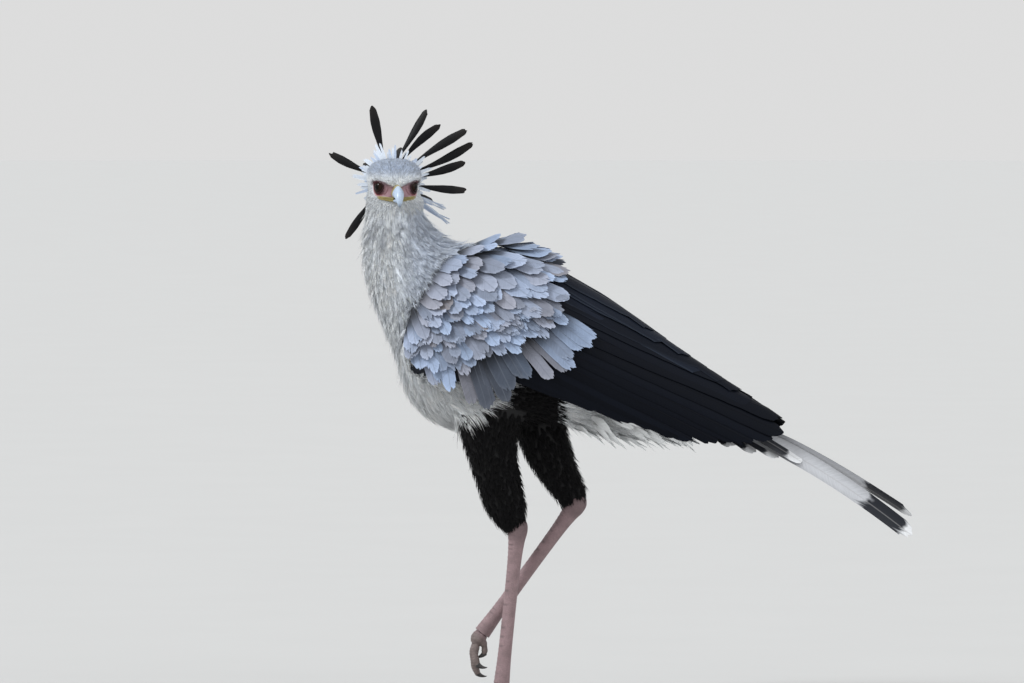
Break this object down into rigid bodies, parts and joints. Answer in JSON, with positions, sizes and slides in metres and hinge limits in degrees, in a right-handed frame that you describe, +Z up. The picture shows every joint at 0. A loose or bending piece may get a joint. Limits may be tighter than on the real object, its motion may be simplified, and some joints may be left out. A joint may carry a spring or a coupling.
{
  "type": "secretary bird",
  "caption": "Life-size still model of a secretary bird striding on one long leg, the other lifted, head turned to the side, crest fanned and long tail trailing.",
  "frame": {"origin": "middle of the sole of the left foot, the one that stands, on the floor", "axes": "+Z up; the body faces -X and its left side faces -Y, the way the head is turned"},
  "size_m": [1.0747, 0.2918, 1.1027],
  "materials": {
    "down": "soft white body feathers",
    "feather_grey": "grey feather vanes",
    "feather_pale": "pale grey tail feather vanes",
    "feather_black": "black feather vanes",
    "shank": "dull pink scaled skin",
    "foot": "dull grey-pink scaled skin",
    "claw": "dark horn",
    "bill": "pale blue-grey horn",
    "eye": "wet dark brown"
  },
  "bodies": {
    "root": {"head": "down", "bill_upper": "bill", "bill_lower": "bill", "eye_left": "eye", "eye_right": "eye", "neck": "down", "torso": "down", "wing_left": "feather_grey", "wing_right": "feather_grey", "tail": "feather_pale", "thigh_left": "feather_black", "thigh_right": "feather_black", "shank_left": "shank", "shank_right": "shank", "foot_left": "foot", "foot_right": "foot", "claw_left_middle": "claw", "claw_left_inner": "claw", "claw_left_outer": "claw", "claw_left_hind": "claw", "claw_right_middle": "claw", "claw_right_inner": "claw", "claw_right_outer": "claw", "claw_right_hind": "claw"}
  },
  "joints": []
}
